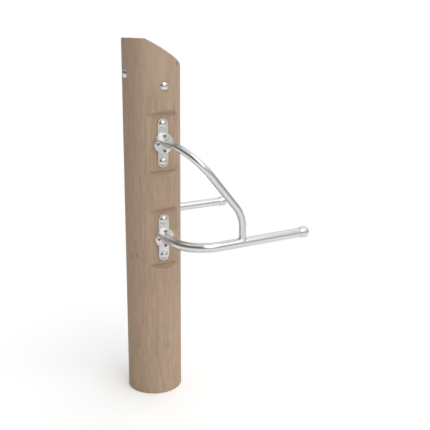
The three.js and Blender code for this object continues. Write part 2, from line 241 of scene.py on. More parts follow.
def build_post(bm):
    angles = post_angles()
    rows = []

    def row(point_at):
        rows.append(ring_of(bm, [point_at(angle) for angle in angles]))

    def rounded(dip, inset, height_at):
        def point_at(angle):
            radius = round_radius(angle, post_height) - inset
            return (radius * math.cos(angle), radius * math.sin(angle), height_at(angle) + dip)
        return point_at

    halfway = RIM_HALFWAY * RIM_ROUNDING
    row(rounded(0, RIM_ROUNDING, lambda angle: 0))
    row(rounded(halfway, halfway, lambda angle: 0))
    start = RIM_ROUNDING
    for level in LEVELS:
        bottom = bracket_height[level] - pocket_half
        top = bracket_height[level] + pocket_half
        for height in [start] + even_steps(start, bottom - POCKET_END_ROOM, ROW_STEP):
            row(lambda angle: on_post(angle, height))
        for point_at in pocket_end_rows(bottom, -1):
            row(point_at)
        for height in even_steps(bottom, top, ROW_STEP):
            row(lambda angle: on_post(angle, height, flat_distance))
        for point_at in pocket_end_rows(top, 1):
            row(point_at)
        start = top + POCKET_END_ROOM

    # Above the upper pockets the rows tilt step by step into the sloping head
    steps = round((post_height - start) / ROW_STEP)
    for i in range(1, steps + 1):
        def tilted(angle):
            end = head_height(angle) - RIM_ROUNDING
            return on_post(angle, start + (end - start) * i / steps)
        row(tilted)
    for turn in (30, 60, 90):
        dip = RIM_ROUNDING * (1 - math.sin(math.radians(turn)))
        inset = RIM_ROUNDING * (1 - math.cos(math.radians(turn)))
        row(rounded(-dip, inset, head_height))

    for lower, upper in zip(rows, rows[1:]):
        bridge(bm, lower, upper)
    bm.faces.new(rows[0])

    # The rim's two points at the ledge's edge part the level ledge from the slope
    rim = rows[-1]
    first, second = [i for i, angle in enumerate(angles)
                     if abs(post_radius * math.cos(angle) - ledge_edge) < SMALLEST_EDGE]
    bm.faces.new(rim[first:second + 1])
    bm.faces.new(rim[second:] + rim[:first + 1])
    bmesh.ops.remove_doubles(bm, verts=bm.verts, dist=SMALLEST_EDGE)


def post_cutters():
    """Holes for the bolts, and round seats for the heads of the two tie bolts."""
    length = 2 * (post_radius + CUT_OVERRUN)
    hole = drill(BOLT_HOLE_RADIUS, length)
    seat_run = SPOT_FACE_DEPTH + CUT_OVERRUN
    seat = drill(SPOT_FACE_RADIUS, seat_run, SPOT_FACE_SIDES)
    seat_centre = post_radius - SPOT_FACE_DEPTH + seat_run / 2
    across = Matrix.Rotation(math.pi / 2, 4, "X")
    along = Matrix.Rotation(-math.pi / 2, 4, "Y")
    cutters = []
    for level in LEVELS:
        for end in PLATE_ENDS:
            height = middle(f"plate_{level}_{end}_bolt").z
            cutters.append((hole, Matrix.Translation((0, 0, height)) @ across))
    for tie, turn in (("tie_upper", along), ("tie_lower", across)):
        place = Matrix.Translation((0, 0, middle(f"{tie}_bolt").z)) @ turn
        for end in (-1, 1):
            cutters.append((seat, place @ Matrix.Translation((0, 0, end * seat_centre))))
        cutters.append((hole, place))
    return cutters


class Wire:
    """An output of a shader node. Arithmetic on it adds Math nodes."""

    def __init__(self, shader, socket):
        self.shader = shader
        self.socket = socket

    def math(self, operation, *others):
        values = dict(enumerate([self, *others]))
        return self.shader.node("Math", {"operation": operation}, values)

    def __add__(self, other):
        return self.math("ADD", other)

    def __sub__(self, other):
        return self.math("SUBTRACT", other)

    def __rsub__(self, other):
        return self.shader.node("Math", {"operation": "SUBTRACT"}, {0: other, 1: self})

    def __mul__(self, other):
        return self.math("MULTIPLY", other)

    def __truediv__(self, other):
        return self.math("DIVIDE", other)

    def __pow__(self, other):
        return self.math("POWER", other)

    def __or__(self, other):
        """The larger of the two, for one mark over another."""
        return self.math("MAXIMUM", other)

    __radd__ = __add__
    __rmul__ = __mul__


class Shader:
    """A node tree, with one method that adds any node to it."""

    def __init__(self, tree):
        self.tree = tree
        tree.nodes.clear()

    def node(self, kind, settings=None, inputs=None, output=0):
        """A new node with its settings, then values or links on its inputs; gives one output."""
        made = self.tree.nodes.new("ShaderNode" + kind)
        for name, value in (settings or {}).items():
            setattr(made, name, value)
        for name, value in (inputs or {}).items():
            if isinstance(value, Wire):
                self.tree.links.new(value.socket, made.inputs[name])
            else:
                made.inputs[name].default_value = value
        return Wire(self, made.outputs[output]) if made.outputs else None

    def mix(self, share, first, second):
        """A colour that goes from the first to the second as the share goes from 0 to 1."""
        return self.node("Mix", {"data_type": "RGBA"}, {0: share, 6: first, 7: second}, 2)

    def grey(self, level):
        return self.node("CombineXYZ", {}, {0: level, 1: level, 2: level})

    def ramp(self, value, low, high):
        """A number from 0 to 1 that rises smoothly as the value goes from low to high."""
        return self.node("MapRange", {"interpolation_type": "SMOOTHSTEP"},
                         {"Value": value, "From Min": low, "From Max": high})

    def scaled(self, vector, *scale):
        return self.node("VectorMath", {"operation": "MULTIPLY"}, {0: vector, 1: scale})

    def noise(self, place, scale, detail=2.0, roughness=0.5):
        return self.node("TexNoise", {},
                         {"Vector": place, "Scale": scale, "Detail": detail, "Roughness": roughness})

    def length(self, vector):
        return self.node("VectorMath", {"operation": "LENGTH"}, {0: vector}, "Value")

    def parts(self, vector):
        """The X, Y and Z of a vector."""
        return [self.node("SeparateXYZ", {}, {0: vector}, i) for i in range(3)]


def new_finish(name):
    material = bpy.data.materials.new(name)
    material.use_nodes = True
    return material, Shader(material.node_tree)


WOOD_TAN = (0.488, 0.358, 0.249, 1)
WOOD_OLIVE = (0.464, 0.349, 0.238, 1)
WOOD_PINK = (0.510, 0.345, 0.260, 1)
WOOD_PALE = (0.606, 0.459, 0.337, 1)
# Late wood's colour, which also serves as painted shade on the post
WOOD_LATE_AND_SHADE = (0.352, 0.248, 0.162, 1)
WOOD_RED = (0.270, 0.135, 0.080, 1)
WOOD_END = (0.400, 0.300, 0.205, 1)
WOOD_GRIME = (0.200, 0.152, 0.108, 1)
WOOD_CHECK = (0.090, 0.062, 0.040, 1)
KNOT_HEART = (0.130, 0.080, 0.046, 1)
RING_WIDTH = 0.0046
RING_WANDER = 0.030
KNOT_STRETCH = 0.62
POCKET_SHADE_DEPTH = (0.0004, 0.0090)
# Painted shade along a pocket's bottom corner fades out between these distances
CORNER_SHADE_LINE = (0.0006, 0.0036)
SPLIT_WIDTH = 0.0011
SPLIT_HAIRLINE = 0.0002
SPLIT_WANDER = 0.35
SPLIT_FADE = 0.006
CHECK_EDGE = (0.0004, 0.0016)
CHECK_WANDER = 0.03
CHECK_FADE = 0.03

# Knots as (angle round the post in degrees, height, radius, how dark)
KNOTS = (
    (-134, 1.080, 0.0028, 0.5), (-134, 1.194, 0.0024, 0.4), (-57, 1.203, 0.0042, 1.0),
    (-67, 1.046, 0.0085, 0.3), (-56, 0.848, 0.0055, 0.5), (-70, 0.7005, 0.0068, 0.9),
    (-152, 0.534, 0.0045, 0.6), (-169, 0.526, 0.0036, 0.7), (-57, 0.425, 0.0040, 0.5),
    (-86, 0.190, 0.0070, 0.3), (-151, 0.189, 0.0055, 0.4), (-54, 0.074, 0.0032, 0.6),
    (38, 0.930, 0.0085, 0.9), (62, 0.340, 0.0060, 0.8), (121, 1.020, 0.0070, 0.9),
    (147, 0.420, 0.0095, 0.9), (10, 0.610, 0.0050, 0.7), (95, 0.150, 0.0045, 0.8),
)

# Splits of the sawn head and foot as (angle in degrees, start from the pith, widest point)
SPLITS = ((-112.8, 0.012, 0.098), (-20, 0.030, 0.099), (38, 0.050, 0.100), (74, 0.020, 0.098),
          (158, 0.010, 0.099), (-160, 0.055, 0.100), (112, 0.062, 0.100))

# Drying checks as (angle in degrees, lower end, upper end)
CHECKS = ((-112.8, 0.137, 0.267), (-20, 0.930, 1.120), (74, 0.110, 0.380), (158, 0.760, 1.010))


def wood_finish():
    material, s = new_finish("peeled_timber")
    place = s.node("TexCoord", {}, {}, "Object")
    upward = s.parts(s.node("TexCoord", {}, {}, "Normal"))[2]
    x, y, z = s.parts(place)
    radius = (x * x + y * y) ** 0.5
    around = y.math("ARCTAN2", x)

    def grain(stretch, scale, detail, roughness=0.5):
        """Noise that is drawn out along the log."""
        return s.noise(s.scaled(place, 1, 1, stretch), scale, detail, roughness)

    # Slow wander of the log's rings, which shows on the round as long streaks and islands
    wander = grain(0.160, 11, 3)
    swirl = 0
    knot = 0
    halo = 0
    for angle, height, size, dark in KNOTS:
        turn = math.radians(angle)
        centre = (post_radius * math.cos(turn), post_radius * math.sin(turn), height)
        near = s.node("VectorMath", {"operation": "SUBTRACT"}, {0: place, 1: centre})
        apart = s.length(s.scaled(near, 1, 1, KNOT_STRETCH))
        swirl = (1 - s.ramp(apart, 0, 5 * size)) * (1.6 * size) + swirl
        knot = (1 - s.ramp(apart, 0.35 * size, 0.95 * size)) * dark | knot
        halo = (1 - s.ramp(apart, 0.8 * size, 2.6 * size)) * dark | halo

    # Each ring darkens slowly from its early wood to its late wood, then starts anew
    phase = (radius + (wander - 0.5) * RING_WANDER + swirl) / RING_WIDTH
    ring = phase.math("FRACT")
    late = s.ramp(ring, 0.35, 0.93) * (1 - s.ramp(ring, 0.93, 1.0))

    # Olive and pink bands lie under bleached patches, dark and pale streaks and fibres, and a blush
    fibre = grain(0.055, 280, 3, 0.7)
    streak = grain(0.065, 120, 3, 0.6)
    band = grain(0.150, 17, 3, 0.6)
    bleach = grain(0.200, 24, 2)
    blush = grain(0.300, 9, 2)
    colour = s.mix(s.ramp(band, 0.40, 0.60), WOOD_OLIVE, WOOD_PINK)
    colour = s.mix(s.ramp(bleach, 0.46, 0.66) * 0.75, colour, WOOD_TAN)
    colour = s.mix(late * 0.16, colour, WOOD_LATE_AND_SHADE)
    colour = s.mix(s.ramp(streak, 0.50, 0.74) * 0.30, colour, WOOD_LATE_AND_SHADE)
    colour = s.mix(s.ramp(streak, 0.50, 0.26) * 0.30, colour, WOOD_PALE)
    colour = s.mix(s.ramp(fibre, 0.50, 0.70) * 0.50, colour, WOOD_LATE_AND_SHADE)
    colour = s.mix(s.ramp(fibre, 0.50, 0.30) * 0.50, colour, WOOD_PALE)
    colour = s.mix(s.ramp(blush, 0.66, 0.80) * 0.20, colour, WOOD_RED)
    colour = s.mix(halo * 0.45, colour, WOOD_LATE_AND_SHADE)
    colour = s.mix(knot * 0.85, colour, KNOT_HEART)

    # Painted light and shade: the side of the log away from the bars is painted darker as shade,
    # and the front of its head is painted paler as light falling on it
    painted_light_front = s.ramp(x, 0.040, -0.020) * s.ramp(x, -0.090, -0.055) * s.ramp(y, 0.0, -0.030)
    colour = s.mix(painted_light_front * s.ramp(z, 1.04, 1.20) * 0.36, colour, WOOD_PALE)
    colour = s.mix(s.ramp(x, -0.060, -0.095) * 0.12, colour, WOOD_LATE_AND_SHADE)

    # The milled pockets carry painted shade: their upward ends are darker, and painted shade lies
    # under each top end and along each bottom corner, most of it at the middle and toward the bars
    shade = s.ramp(upward, 0.30, 0.60) * 0.45
    for level in LEVELS:
        rise = z - bracket_height[level]
        over = rise - pocket_half
        under = rise * -1 - pocket_half
        overhang_shade = s.ramp(over, 0.016, 0.0) * s.ramp(over, -0.014, 0.0)
        shade = overhang_shade * (s.ramp(x, -0.045, 0.005) * 0.40 + 0.18) | shade
        shade = (1 - s.ramp(under.math("ABSOLUTE"), *CORNER_SHADE_LINE)) * 0.95 | shade
    sunk = s.ramp(post_radius - radius, *POCKET_SHADE_DEPTH)
    colour = s.mix(shade * sunk, colour, WOOD_LATE_AND_SHADE)

    # The sawn head and foot show the rings and small splits, and rain leaves grime on the head
    sawn = s.ramp(upward.math("ABSOLUTE"), 0.80, 0.85)
    end_colour = s.mix(late * 0.55, WOOD_END, WOOD_LATE_AND_SHADE)
    end_colour = s.mix(s.ramp(band, 0.35, 0.65) * 0.25, end_colour, WOOD_TAN)
    end_colour = s.mix(s.ramp(upward, 0.3, 0.8) * 0.30, end_colour, WOOD_GRIME)
    split = 0
    for angle, start, end in SPLITS:
        turned_away = around - math.radians(angle) + (wander - 0.5) * SPLIT_WANDER
        aside = turned_away.math("ABSOLUTE") * radius
        open_width = s.ramp(radius, start, end) * SPLIT_WIDTH + SPLIT_HAIRLINE
        beside = (aside / open_width).math("MINIMUM", 2.0)
        begun = s.ramp(radius, start, start + SPLIT_FADE)
        split = (1 - s.ramp(beside, 0.6, 1.4)) * begun | split
    split = split * sawn
    end_colour = s.mix(split * 0.80, end_colour, WOOD_CHECK)
    colour = s.mix(sawn, colour, end_colour)

    # Drying checks run down the round
    crack = 0
    for angle, low, high in CHECKS:
        turned_away = around - math.radians(angle) + (wander - 0.5) * CHECK_WANDER
        aside = turned_away.math("ABSOLUTE") * radius
        along = s.ramp(z, low, low + CHECK_FADE) * (1 - s.ramp(z, high - CHECK_FADE, high))
        crack = (1 - s.ramp(aside, *CHECK_EDGE)) * along | crack
    crack = crack * (1 - sawn)
    colour = s.mix(crack * 0.65, colour, WOOD_CHECK)

    # Fibres and streaks stand up a little; late wood, checks, splits and knots lie lower
    relief = fibre * 0.35 + streak * 0.35 - late * 0.20 - crack * 1.2 - split * 1.5 - knot * 0.4
    bump = s.node("Bump", {}, {"Strength": 0.5, "Distance": 0.0006, "Height": relief})
    rough = fibre * 0.12 + 0.72 - knot * 0.12
    surface = s.node("BsdfPrincipled", {}, {
        "Base Color": colour, "Roughness": rough, "Specular IOR Level": 0.30, "Normal": bump})
    s.node("OutputMaterial", {}, {"Surface": surface})
    return material


def add_piece(name, mesh, material, nodes, place=Matrix.Identity(4)):
    """Puts a finished piece in its place on the frame, where it stands for its CAD nodes."""
    piece = new_object(name, mesh)
    piece.matrix_world = place
    if not mesh.materials:
        mesh.materials.append(material)
    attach(piece, "root")
    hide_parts(*nodes)


post_mesh = cut(mesh_from("post", build_post), post_cutters())
add_piece("post", post_mesh, wood_finish(), ["timber_post"])


# The bolts are stainless bolts with wide domed heads, and have domed cap nuts on the far side.
# Two tie bolts cross in the post's head and keep it from splitting, and four more clamp the
# brackets' plates to both sides of the post.
BOLT_RADIUS = 0.006
BOLT_HEAD_RADIUS = 0.015
BOLT_HEAD_RIM = 0.0006
BOLT_EDGE_ROUNDING = 0.0002
BOLT_SIDES = 64
NUT_THREAD_DEPTH = 0.005
STEEL = (0.725, 0.722, 0.712, 1)
STEEL_DULL = (0.620, 0.620, 0.614, 1)
STEEL_RELIEF = 0.0002

# A polish as (roughness, scale of its smears, scale of its grain)
BOLT_POLISH = (0.17, 140, 2200)


def dome_profile(radius, rim, height, rounding, steps=14):
    """A dome from the edge of its seat over its rim to the crown."""
    rise = height - rim
    sphere = (radius ** 2 + rise ** 2) / (2 * rise)
    half_angle = math.asin(radius / sphere)
    points = [(radius - rounding, 0), (radius, rounding), (radius, rim - rounding)]
    for step in range(1, steps + 1):
        angle = half_angle * (1 - step / steps)
        points.append((sphere * math.sin(angle), height - sphere * (1 - math.cos(angle))))
    return points


def bolt_mesh(node, length, head_height):
    tip = -(length - head_height)
    return turned(node, [
        (0, tip), (BOLT_RADIUS - 2 * BOLT_EDGE_ROUNDING, tip),
        (BOLT_RADIUS, tip + 2 * BOLT_EDGE_ROUNDING), (BOLT_RADIUS, 0),
        *dome_profile(BOLT_HEAD_RADIUS, BOLT_HEAD_RIM, head_height, BOLT_EDGE_ROUNDING),
    ], BOLT_SIDES)


def cap_nut_mesh(node, height):
    bore = BOLT_HOLE_RADIUS
    return turned(node, [
        (0, NUT_THREAD_DEPTH), (bore, NUT_THREAD_DEPTH), (bore, 0),
        *dome_profile(BOLT_HEAD_RADIUS, BOLT_HEAD_RIM, height, BOLT_EDGE_ROUNDING),
    ], BOLT_SIDES)


def bare_steel(s, relief, strength, inputs, depth=STEEL_RELIEF):
    """Bare steel with its relief and the other inputs given, joined to the material's output."""
    bump = s.node("Bump", {}, {"Strength": strength, "Distance": depth, "Height": relief})
    surface = s.node("BsdfPrincipled", {}, {"Metallic": 1.0, "Normal": bump, **inputs})
    s.node("OutputMaterial", {}, {"Surface": surface})


def smeared(s, cloud, steel):
    """The steel's colour, a little duller in its smears."""
    return s.mix(s.ramp(cloud, 0.45, 0.75) * 0.25, steel, STEEL_DULL)


def polished_steel(name, steel, polish, dull_where=None):
    """Polished stainless steel, with faint smears and a fine polishing grain."""
    roughness, smear_scale, grain_scale = polish
    material, s = new_finish(name)
    place = s.node("TexCoord", {}, {}, "Object")
    cloud = s.noise(place, smear_scale, 3, 0.55)
    grain = s.noise(place, grain_scale, 2, 0.6)
    rough = s.ramp(cloud, 0.35, 0.75) * 0.05 + grain * 0.03 + (roughness - 0.03)
    if dull_where:
        rough = rough + dull_where(s, place)
    bare_steel(s, grain, 0.04, {"Base Color": smeared(s, cloud, steel), "Roughness": rough})
    return material


bolt_steel = polished_steel("bolt_steel", STEEL, BOLT_POLISH)


def add_bolted_pair(name, toward_head):
    """A bolt and its cap nut, on the line between their CAD nodes' boxes."""
    low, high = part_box(f"{name}_bolt")
    nut_low, nut_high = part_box(f"{name}_nut")
    turn = Vector((0, 0, 1)).rotation_difference(toward_head).to_matrix().to_4x4()
    axis = 0 if abs(toward_head.x) > 0.5 else 1
    length = high[axis] - low[axis]
    head_height = nut_high[axis] - nut_low[axis]
    crown = (low + high) / 2 + toward_head * (length / 2)
    seat = Matrix.Translation(crown - toward_head * head_height)
    add_piece(f"{name}_domed_bolt", bolt_mesh(name, length, head_height), bolt_steel,
              [f"{name}_bolt"], seat @ turn)
    nut_middle = (nut_low + nut_high) / 2
    nut_seat = Matrix.Translation(nut_middle + toward_head * (head_height / 2))
    flip = Matrix.Rotation(math.pi, 4, "X")
    add_piece(f"{name}_cap_nut", cap_nut_mesh(name, head_height), bolt_steel,
              [f"{name}_nut"], nut_seat @ turn @ flip)


add_bolted_pair("tie_upper", Vector((-1, 0, 0)))
add_bolted_pair("tie_lower", Vector((0, -1, 0)))
for level in LEVELS:
    for end in PLATE_ENDS:
        add_bolted_pair(f"plate_{level}_{end}", Vector((0, -1, 0)))


# Each backing plate is cut from 5 mm steel, with round ends and a round middle under its flange.
# Two bolts through the post clamp it into its pocket, and its edges are eased and bead-blasted.
PLATE_END_RADIUS = 0.020
PLATE_CHAMFER = 0.0009
ARC_STEPS = 28
SCREW_HOLE_RADIUS = 0.0043
PLATE_STEEL = (0.750, 0.742, 0.712, 1)
PLATE_WORN = (0.850, 0.840, 0.806, 1)

SIDES = (("right", -1), ("left", 1))
flange_low, flange_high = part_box("flange_lower_left")
flange_radius = (flange_high.x - flange_low.x) / 2
flange_thickness = flange_high.y - flange_low.y
touch_gap = flange_low.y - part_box("backing_plate_lower_left")[1].y
screw_low, screw_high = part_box("flange_screw_lower_left_1")


def bracket_place(level, sign, distance):
    """A place on a bracket's axis, with the local Z axis pointing away from the post."""
    turn = Matrix.Rotation(-sign * math.pi / 2, 4, "X")
    return Matrix.Translation((0, sign * distance, bracket_height[level])) @ turn


def screw_places():
    """The four screws of a flange, on a circle round its tube."""
    circle = (screw_low.x + screw_high.x) / 2
    turns = [math.pi * i / 2 for i in range(4)]
    return [(circle * math.cos(turn), circle * math.sin(turn)) for turn in turns]


def plate_outline(end_centre, inset):
    """The plate's outline, drawn in by the same amount all round."""
    end_radius = PLATE_END_RADIUS - inset
    middle_radius = flange_radius - inset
    bulge = math.acos(end_radius / middle_radius)
    arcs = (
        (end_centre, end_radius, 0, math.pi),
        (0, middle_radius, math.pi - bulge, math.pi + bulge),
        (-end_centre, end_radius, math.pi, 2 * math.pi),
        (0, middle_radius, -bulge, bulge),
    )
    points = []
    for centre, radius, start, end in arcs:
        for i in range(ARC_STEPS + 1):
            angle = start + (end - start) * i / ARC_STEPS
            points.append((radius * math.cos(angle), centre + radius * math.sin(angle)))
    return points


def plate_mesh(level):
    low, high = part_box(f"backing_plate_{level}_left")
    thickness = high.y - low.y
    end_centre = (high.z - low.z) / 2 - PLATE_END_RADIUS
    edges = ((0, PLATE_CHAMFER / 2), (PLATE_CHAMFER / 2, 0),
             (thickness - PLATE_CHAMFER, 0), (thickness, PLATE_CHAMFER))

    def build(bm):
        rings = []
        for height, inset in edges:
            rings.append(ring_of(bm, [(x, y, height) for x, y in plate_outline(end_centre, inset)]))
        for lower, upper in zip(rings, rings[1:]):
            bridge(bm, lower, upper)
        bm.faces.new(rings[0])
        bm.faces.new(rings[-1])

    bolt_hole = drill(BOLT_HOLE_RADIUS, 2 * CUT_OVERRUN)
    screw_hole = drill(SCREW_HOLE_RADIUS, 2 * CUT_OVERRUN)
    cutters = [(bolt_hole, Matrix.Translation((0, y, 0))) for y in (-end_centre, end_centre)]
    cutters += [(screw_hole, Matrix.Translation((x, y, 0))) for x, y in screw_places()]
    return cut(mesh_from(f"plate_{level}", build), cutters)


def plate_finish():
    """Blasted steel, with broad paler clouds and a fine grit."""
    material, s = new_finish("blasted_plate")
    place = s.node("TexCoord", {}, {}, "Object")
    cloud = s.noise(place, 45, 3, 0.6)
    grit = s.noise(place, 2600, 2, 0.7)
    colour = s.mix(s.ramp(cloud, 0.35, 0.70), PLATE_STEEL, PLATE_WORN)
    rough = cloud * 0.08 + grit * 0.06 + 0.30
    bare_steel(s, grit, 0.12, {"Base Color": colour, "Roughness": rough})
    return material


plate_steel = plate_finish()
for level in LEVELS:
    mesh = plate_mesh(level)
    plate_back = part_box(f"backing_plate_{level}_left")[0].y
    for side, sign in SIDES:
        add_piece(f"plate_{level}_{side}", mesh, plate_steel,
                  [f"backing_plate_{level}_{side}"], bracket_place(level, sign, plate_back))


# Each flange is a thick disc turned from bar, which leaves fine rings on its face. Its tube is
# welded into it from behind, and four button-head screws hold it to its plate.
FLANGE_CHAMFER = 0.001
FLANGE_SIDES = 128
FLANGE_RINGS = 5200
FLANGE_STEEL = (0.950, 0.935, 0.915, 1)
SCREW_RADIUS = 0.004
SCREW_HEAD_RADIUS = 0.007
SCREW_HEAD_RIM = 0.0008
SCREW_EDGE_ROUNDING = 0.0002
SCREW_SIDES = 48
SCREW_DOME_STEPS = 10
SOCKET_WIDTH = 0.0064
SOCKET_DEPTH = 0.0026
# The colour of the painted shade in a screw's socket
SOCKET_SHADE = (0.130, 0.126, 0.120, 1)
WELD_LEG = 0.0025
WELD_SIDES = 96

bar_low, bar_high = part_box("bar_tube_right")
brace_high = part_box("brace_tube_right")[1]
bar_height = bracket_height["lower"]
brace_height = bracket_height["upper"]
bar_radius = bar_height - bar_low.z
brace_radius = brace_high.z - brace_height
tube_radius = {"lower": bar_radius, "upper": brace_radius}
screw_seat = flange_high.y + touch_gap
screw_head = screw_high.y - screw_seat


def flange_mesh(level):
    bore = tube_radius[level] + touch_gap
    body = turned(f"flange_{level}", [
        (bore + WELD_LEG, 0), (flange_radius - FLANGE_CHAMFER / 2, 0),
        (flange_radius, FLANGE_CHAMFER / 2), (flange_radius, flange_thickness - FLANGE_CHAMFER),
        (flange_radius - FLANGE_CHAMFER, flange_thickness), (bore, flange_thickness),
        (bore, WELD_LEG),
    ], FLANGE_SIDES, closed=True)
    hole = drill(SCREW_HOLE_RADIUS, 2 * CUT_OVERRUN)
    return cut(body, [(hole, Matrix.Translation((x, y, 0))) for x, y in screw_places()])


def flange_finish():
    """Turned steel, whose rings stretch each highlight into a bright wedge."""
    material, s = new_finish("turned_steel")
    place = s.node("TexCoord", {}, {}, "Object")
    x, y, z = s.parts(place)
    radius = (x * x + y * y) ** 0.5
    tool = s.node("TexNoise", {"noise_dimensions": "1D"},
                  {"W": radius, "Scale": FLANGE_RINGS, "Detail": 2.0})
    cloud = s.noise(place, 60, 3)
    colour = s.mix(s.ramp(cloud, 0.4, 0.75) * 0.35, FLANGE_STEEL, STEEL)
    rough = tool * 0.05 + cloud * 0.04 + 0.36
    bare_steel(s, tool, 0.06, {
        "Base Color": colour, "Roughness": rough, "Anisotropic": 1.0, "Anisotropic Rotation": 0.25})
    return material


def screw_mesh():
    shank = screw_seat - screw_low.y
    blank = turned("screw", [
        (0, -shank), (SCREW_RADIUS, -shank), (SCREW_RADIUS, 0),
        *dome_profile(SCREW_HEAD_RADIUS, SCREW_HEAD_RIM, screw_head, SCREW_EDGE_ROUNDING,
                      SCREW_DOME_STEPS),
    ], SCREW_SIDES)
    run = SOCKET_DEPTH + CUT_OVERRUN
    socket = drill(SOCKET_WIDTH / math.sqrt(3), run, sides=6)
    return cut(blank, [(socket, Matrix.Translation((0, 0, screw_head - SOCKET_DEPTH + run / 2)))])


def screw_finish():
    """Bright heads, painted dark with shade in their sockets and with a ring of painted shade and
    dark reflection round them.
    """
    material, s = new_finish("screw_steel")
    place = s.node("TexCoord", {}, {}, "Object")
    x, y, z = s.parts(place)
    radius = (x * x + y * y) ** 0.5
    cloud = s.noise(place, 300, 3, 0.55)
    below_crown = screw_head - z
    # The socket is painted dark as shade, and a ring round it as painted shade and dark reflection
    socket_shade_mask = s.ramp(below_crown, 0.0002, 0.0010) * (1 - s.ramp(radius, 0.0030, 0.0042))
    socket_shade_mask = (1 - s.ramp(radius, 0.0044, 0.0066)) * 0.60 | socket_shade_mask
    colour = s.mix(socket_shade_mask, smeared(s, cloud, STEEL), SOCKET_SHADE)
    surface = s.node("BsdfPrincipled", {}, {
        "Base Color": colour, "Metallic": 1 - socket_shade_mask, "Roughness": cloud * 0.06 + socket_shade_mask * 0.4 + 0.18})
    s.node("OutputMaterial", {}, {"Surface": surface})
    return material


def weld_mesh(level):
    inner = tube_radius[level] + touch_gap
    leg = WELD_LEG - math.sqrt(2) * touch_gap
    section = [(inner, 0), (inner + leg, 0), (inner, leg)]
    return turned(f"flange_weld_{level}", section, WELD_SIDES, closed=True)


def weld_finish():
    """Weld metal as laid down, uneven and duller than the steel beside it."""
    material, s = new_finish("weld_metal")
    cloud = s.noise(s.node("TexCoord", {}, {}, "Object"), 420, 3, 0.6)
    colour = s.mix(s.ramp(cloud, 0.35, 0.7), STEEL, STEEL_DULL)
    rough = cloud * 0.15 + 0.22
    bare_steel(s, cloud, 0.2, {"Base Color": colour, "Roughness": rough}, depth=0.0003)
    return material


turned_steel = flange_finish()
weld_metal = weld_finish()
screw = screw_mesh()
screw_steel = screw_finish()
for level in LEVELS:
    disc = flange_mesh(level)
    weld = weld_mesh(level)
    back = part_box(f"flange_{level}_left")[0].y
    front = back + flange_thickness + touch_gap
    for side, sign in SIDES:
        node = f"{level}_{side}"
        base = bracket_place(level, sign, back)
        add_piece(f"disc_{node}", disc, turned_steel, [f"flange_{node}"], base)
        add_piece(f"disc_weld_{node}", weld, weld_metal, [f"flange_weld_{node}"], base)
        for i, (x, y) in enumerate(screw_places(), 1):
            seat = bracket_place(level, sign, front) @ Matrix.Translation((x, y, 0))
            add_piece(f"screw_{node}_{i}", screw, screw_steel,
                      [f"flange_screw_{node}_{i}"], seat)


# The bars and braces are stainless tube, bent cold and polished along their length. A bar runs
# out from its flange and turns forward, and the brace above it swings forward and down in one
# plane after its bend, then stands square on the bar, where it is coped and welded.
BAR_WALL = 0.0026
BRACE_WALL = 0.002
BAR_BEND_RADIUS = 0.110
BRACE_BEND_RADIUS = 0.118
BRACE_KNEE_HEIGHT = 0.0965
BEND_STEP = math.radians(3)
TUBE_SIDES = 72
TUBE_STEEL = (0.748, 0.745, 0.736, 1)
TUBE_POLISH = (0.14, 26, 900)
DULLNESS = 0.26

# From the first to the second distance in metres, across or forward, the dull steel turns bright
DULL_ACROSS = (0.12, 0.24)
DULL_FORWARD = (0.03, 0.09)

bar_across = abs(bar_low.y) - bar_radius
brace_foot = brace_high.x - brace_radius


def centreline(corners, bend_radius):
    """Points and directions along straight runs joined by round bends."""
    corners = [Vector(corner) for corner in corners]
    ways = [(b - a).normalized() for a, b in zip(corners, corners[1:])]
    stations = [(corners[0], ways[0])]
    for corner, into, out in zip(corners[1:], ways, ways[1:]):
        turn = into.angle(out)
        start = corner - into * (bend_radius * math.tan(turn / 2))
        inward = (out - into * out.dot(into)).normalized()
        steps = math.ceil(turn / BEND_STEP)
        for step in range(steps + 1):
            angle = turn * step / steps
            point = start + into * (bend_radius * math.sin(angle))
            point += inward * (bend_radius * (1 - math.cos(angle)))
            stations.append((point, into * math.cos(angle) + inward * math.sin(angle)))
    stations.append((corners[-1], ways[-1]))
    return stations


def tube_rings(stations, radius):
    """Rings round a centreline, each turned as little as can be from the one before."""
    rings = []
    side = Vector((0, 0, 1))
    for point, way in stations:
        side = (side - way * side.dot(way)).normalized()
        other = way.cross(side)
        rings.append([
            point + (side * math.cos(a) + other * math.sin(a)) * radius
            for a in (2 * math.pi * i / TUBE_SIDES for i in range(TUBE_SIDES))])
    return rings


def tube_mesh(name, stations, radius, wall, finish_end=None):
    def build(bm):
        shells = []
        for shell_radius in (radius, radius - wall):
            rings = tube_rings(stations, shell_radius)
            if finish_end:
                rings[-1] = [finish_end(point) for point in rings[-1]]
            shells.append([ring_of(bm, ring) for ring in rings])
        outer, inner = shells
        for shell in shells:
            for lower, upper in zip(shell, shell[1:]):
                bridge(bm, lower, upper)
        bridge(bm, outer[0], inner[0])
        bridge(bm, outer[-1], inner[-1])
    return mesh_from(name, build)


def dull_by_flange(s, place):
    """The polishing belt can't reach right up to a flange, so the tube stays duller there."""
    x, y, z = s.parts(place)
    beside_post = 1 - s.ramp(y.math("ABSOLUTE"), *DULL_ACROSS)
    return beside_post * (1 - s.ramp(x, *DULL_FORWARD)) * DULLNESS


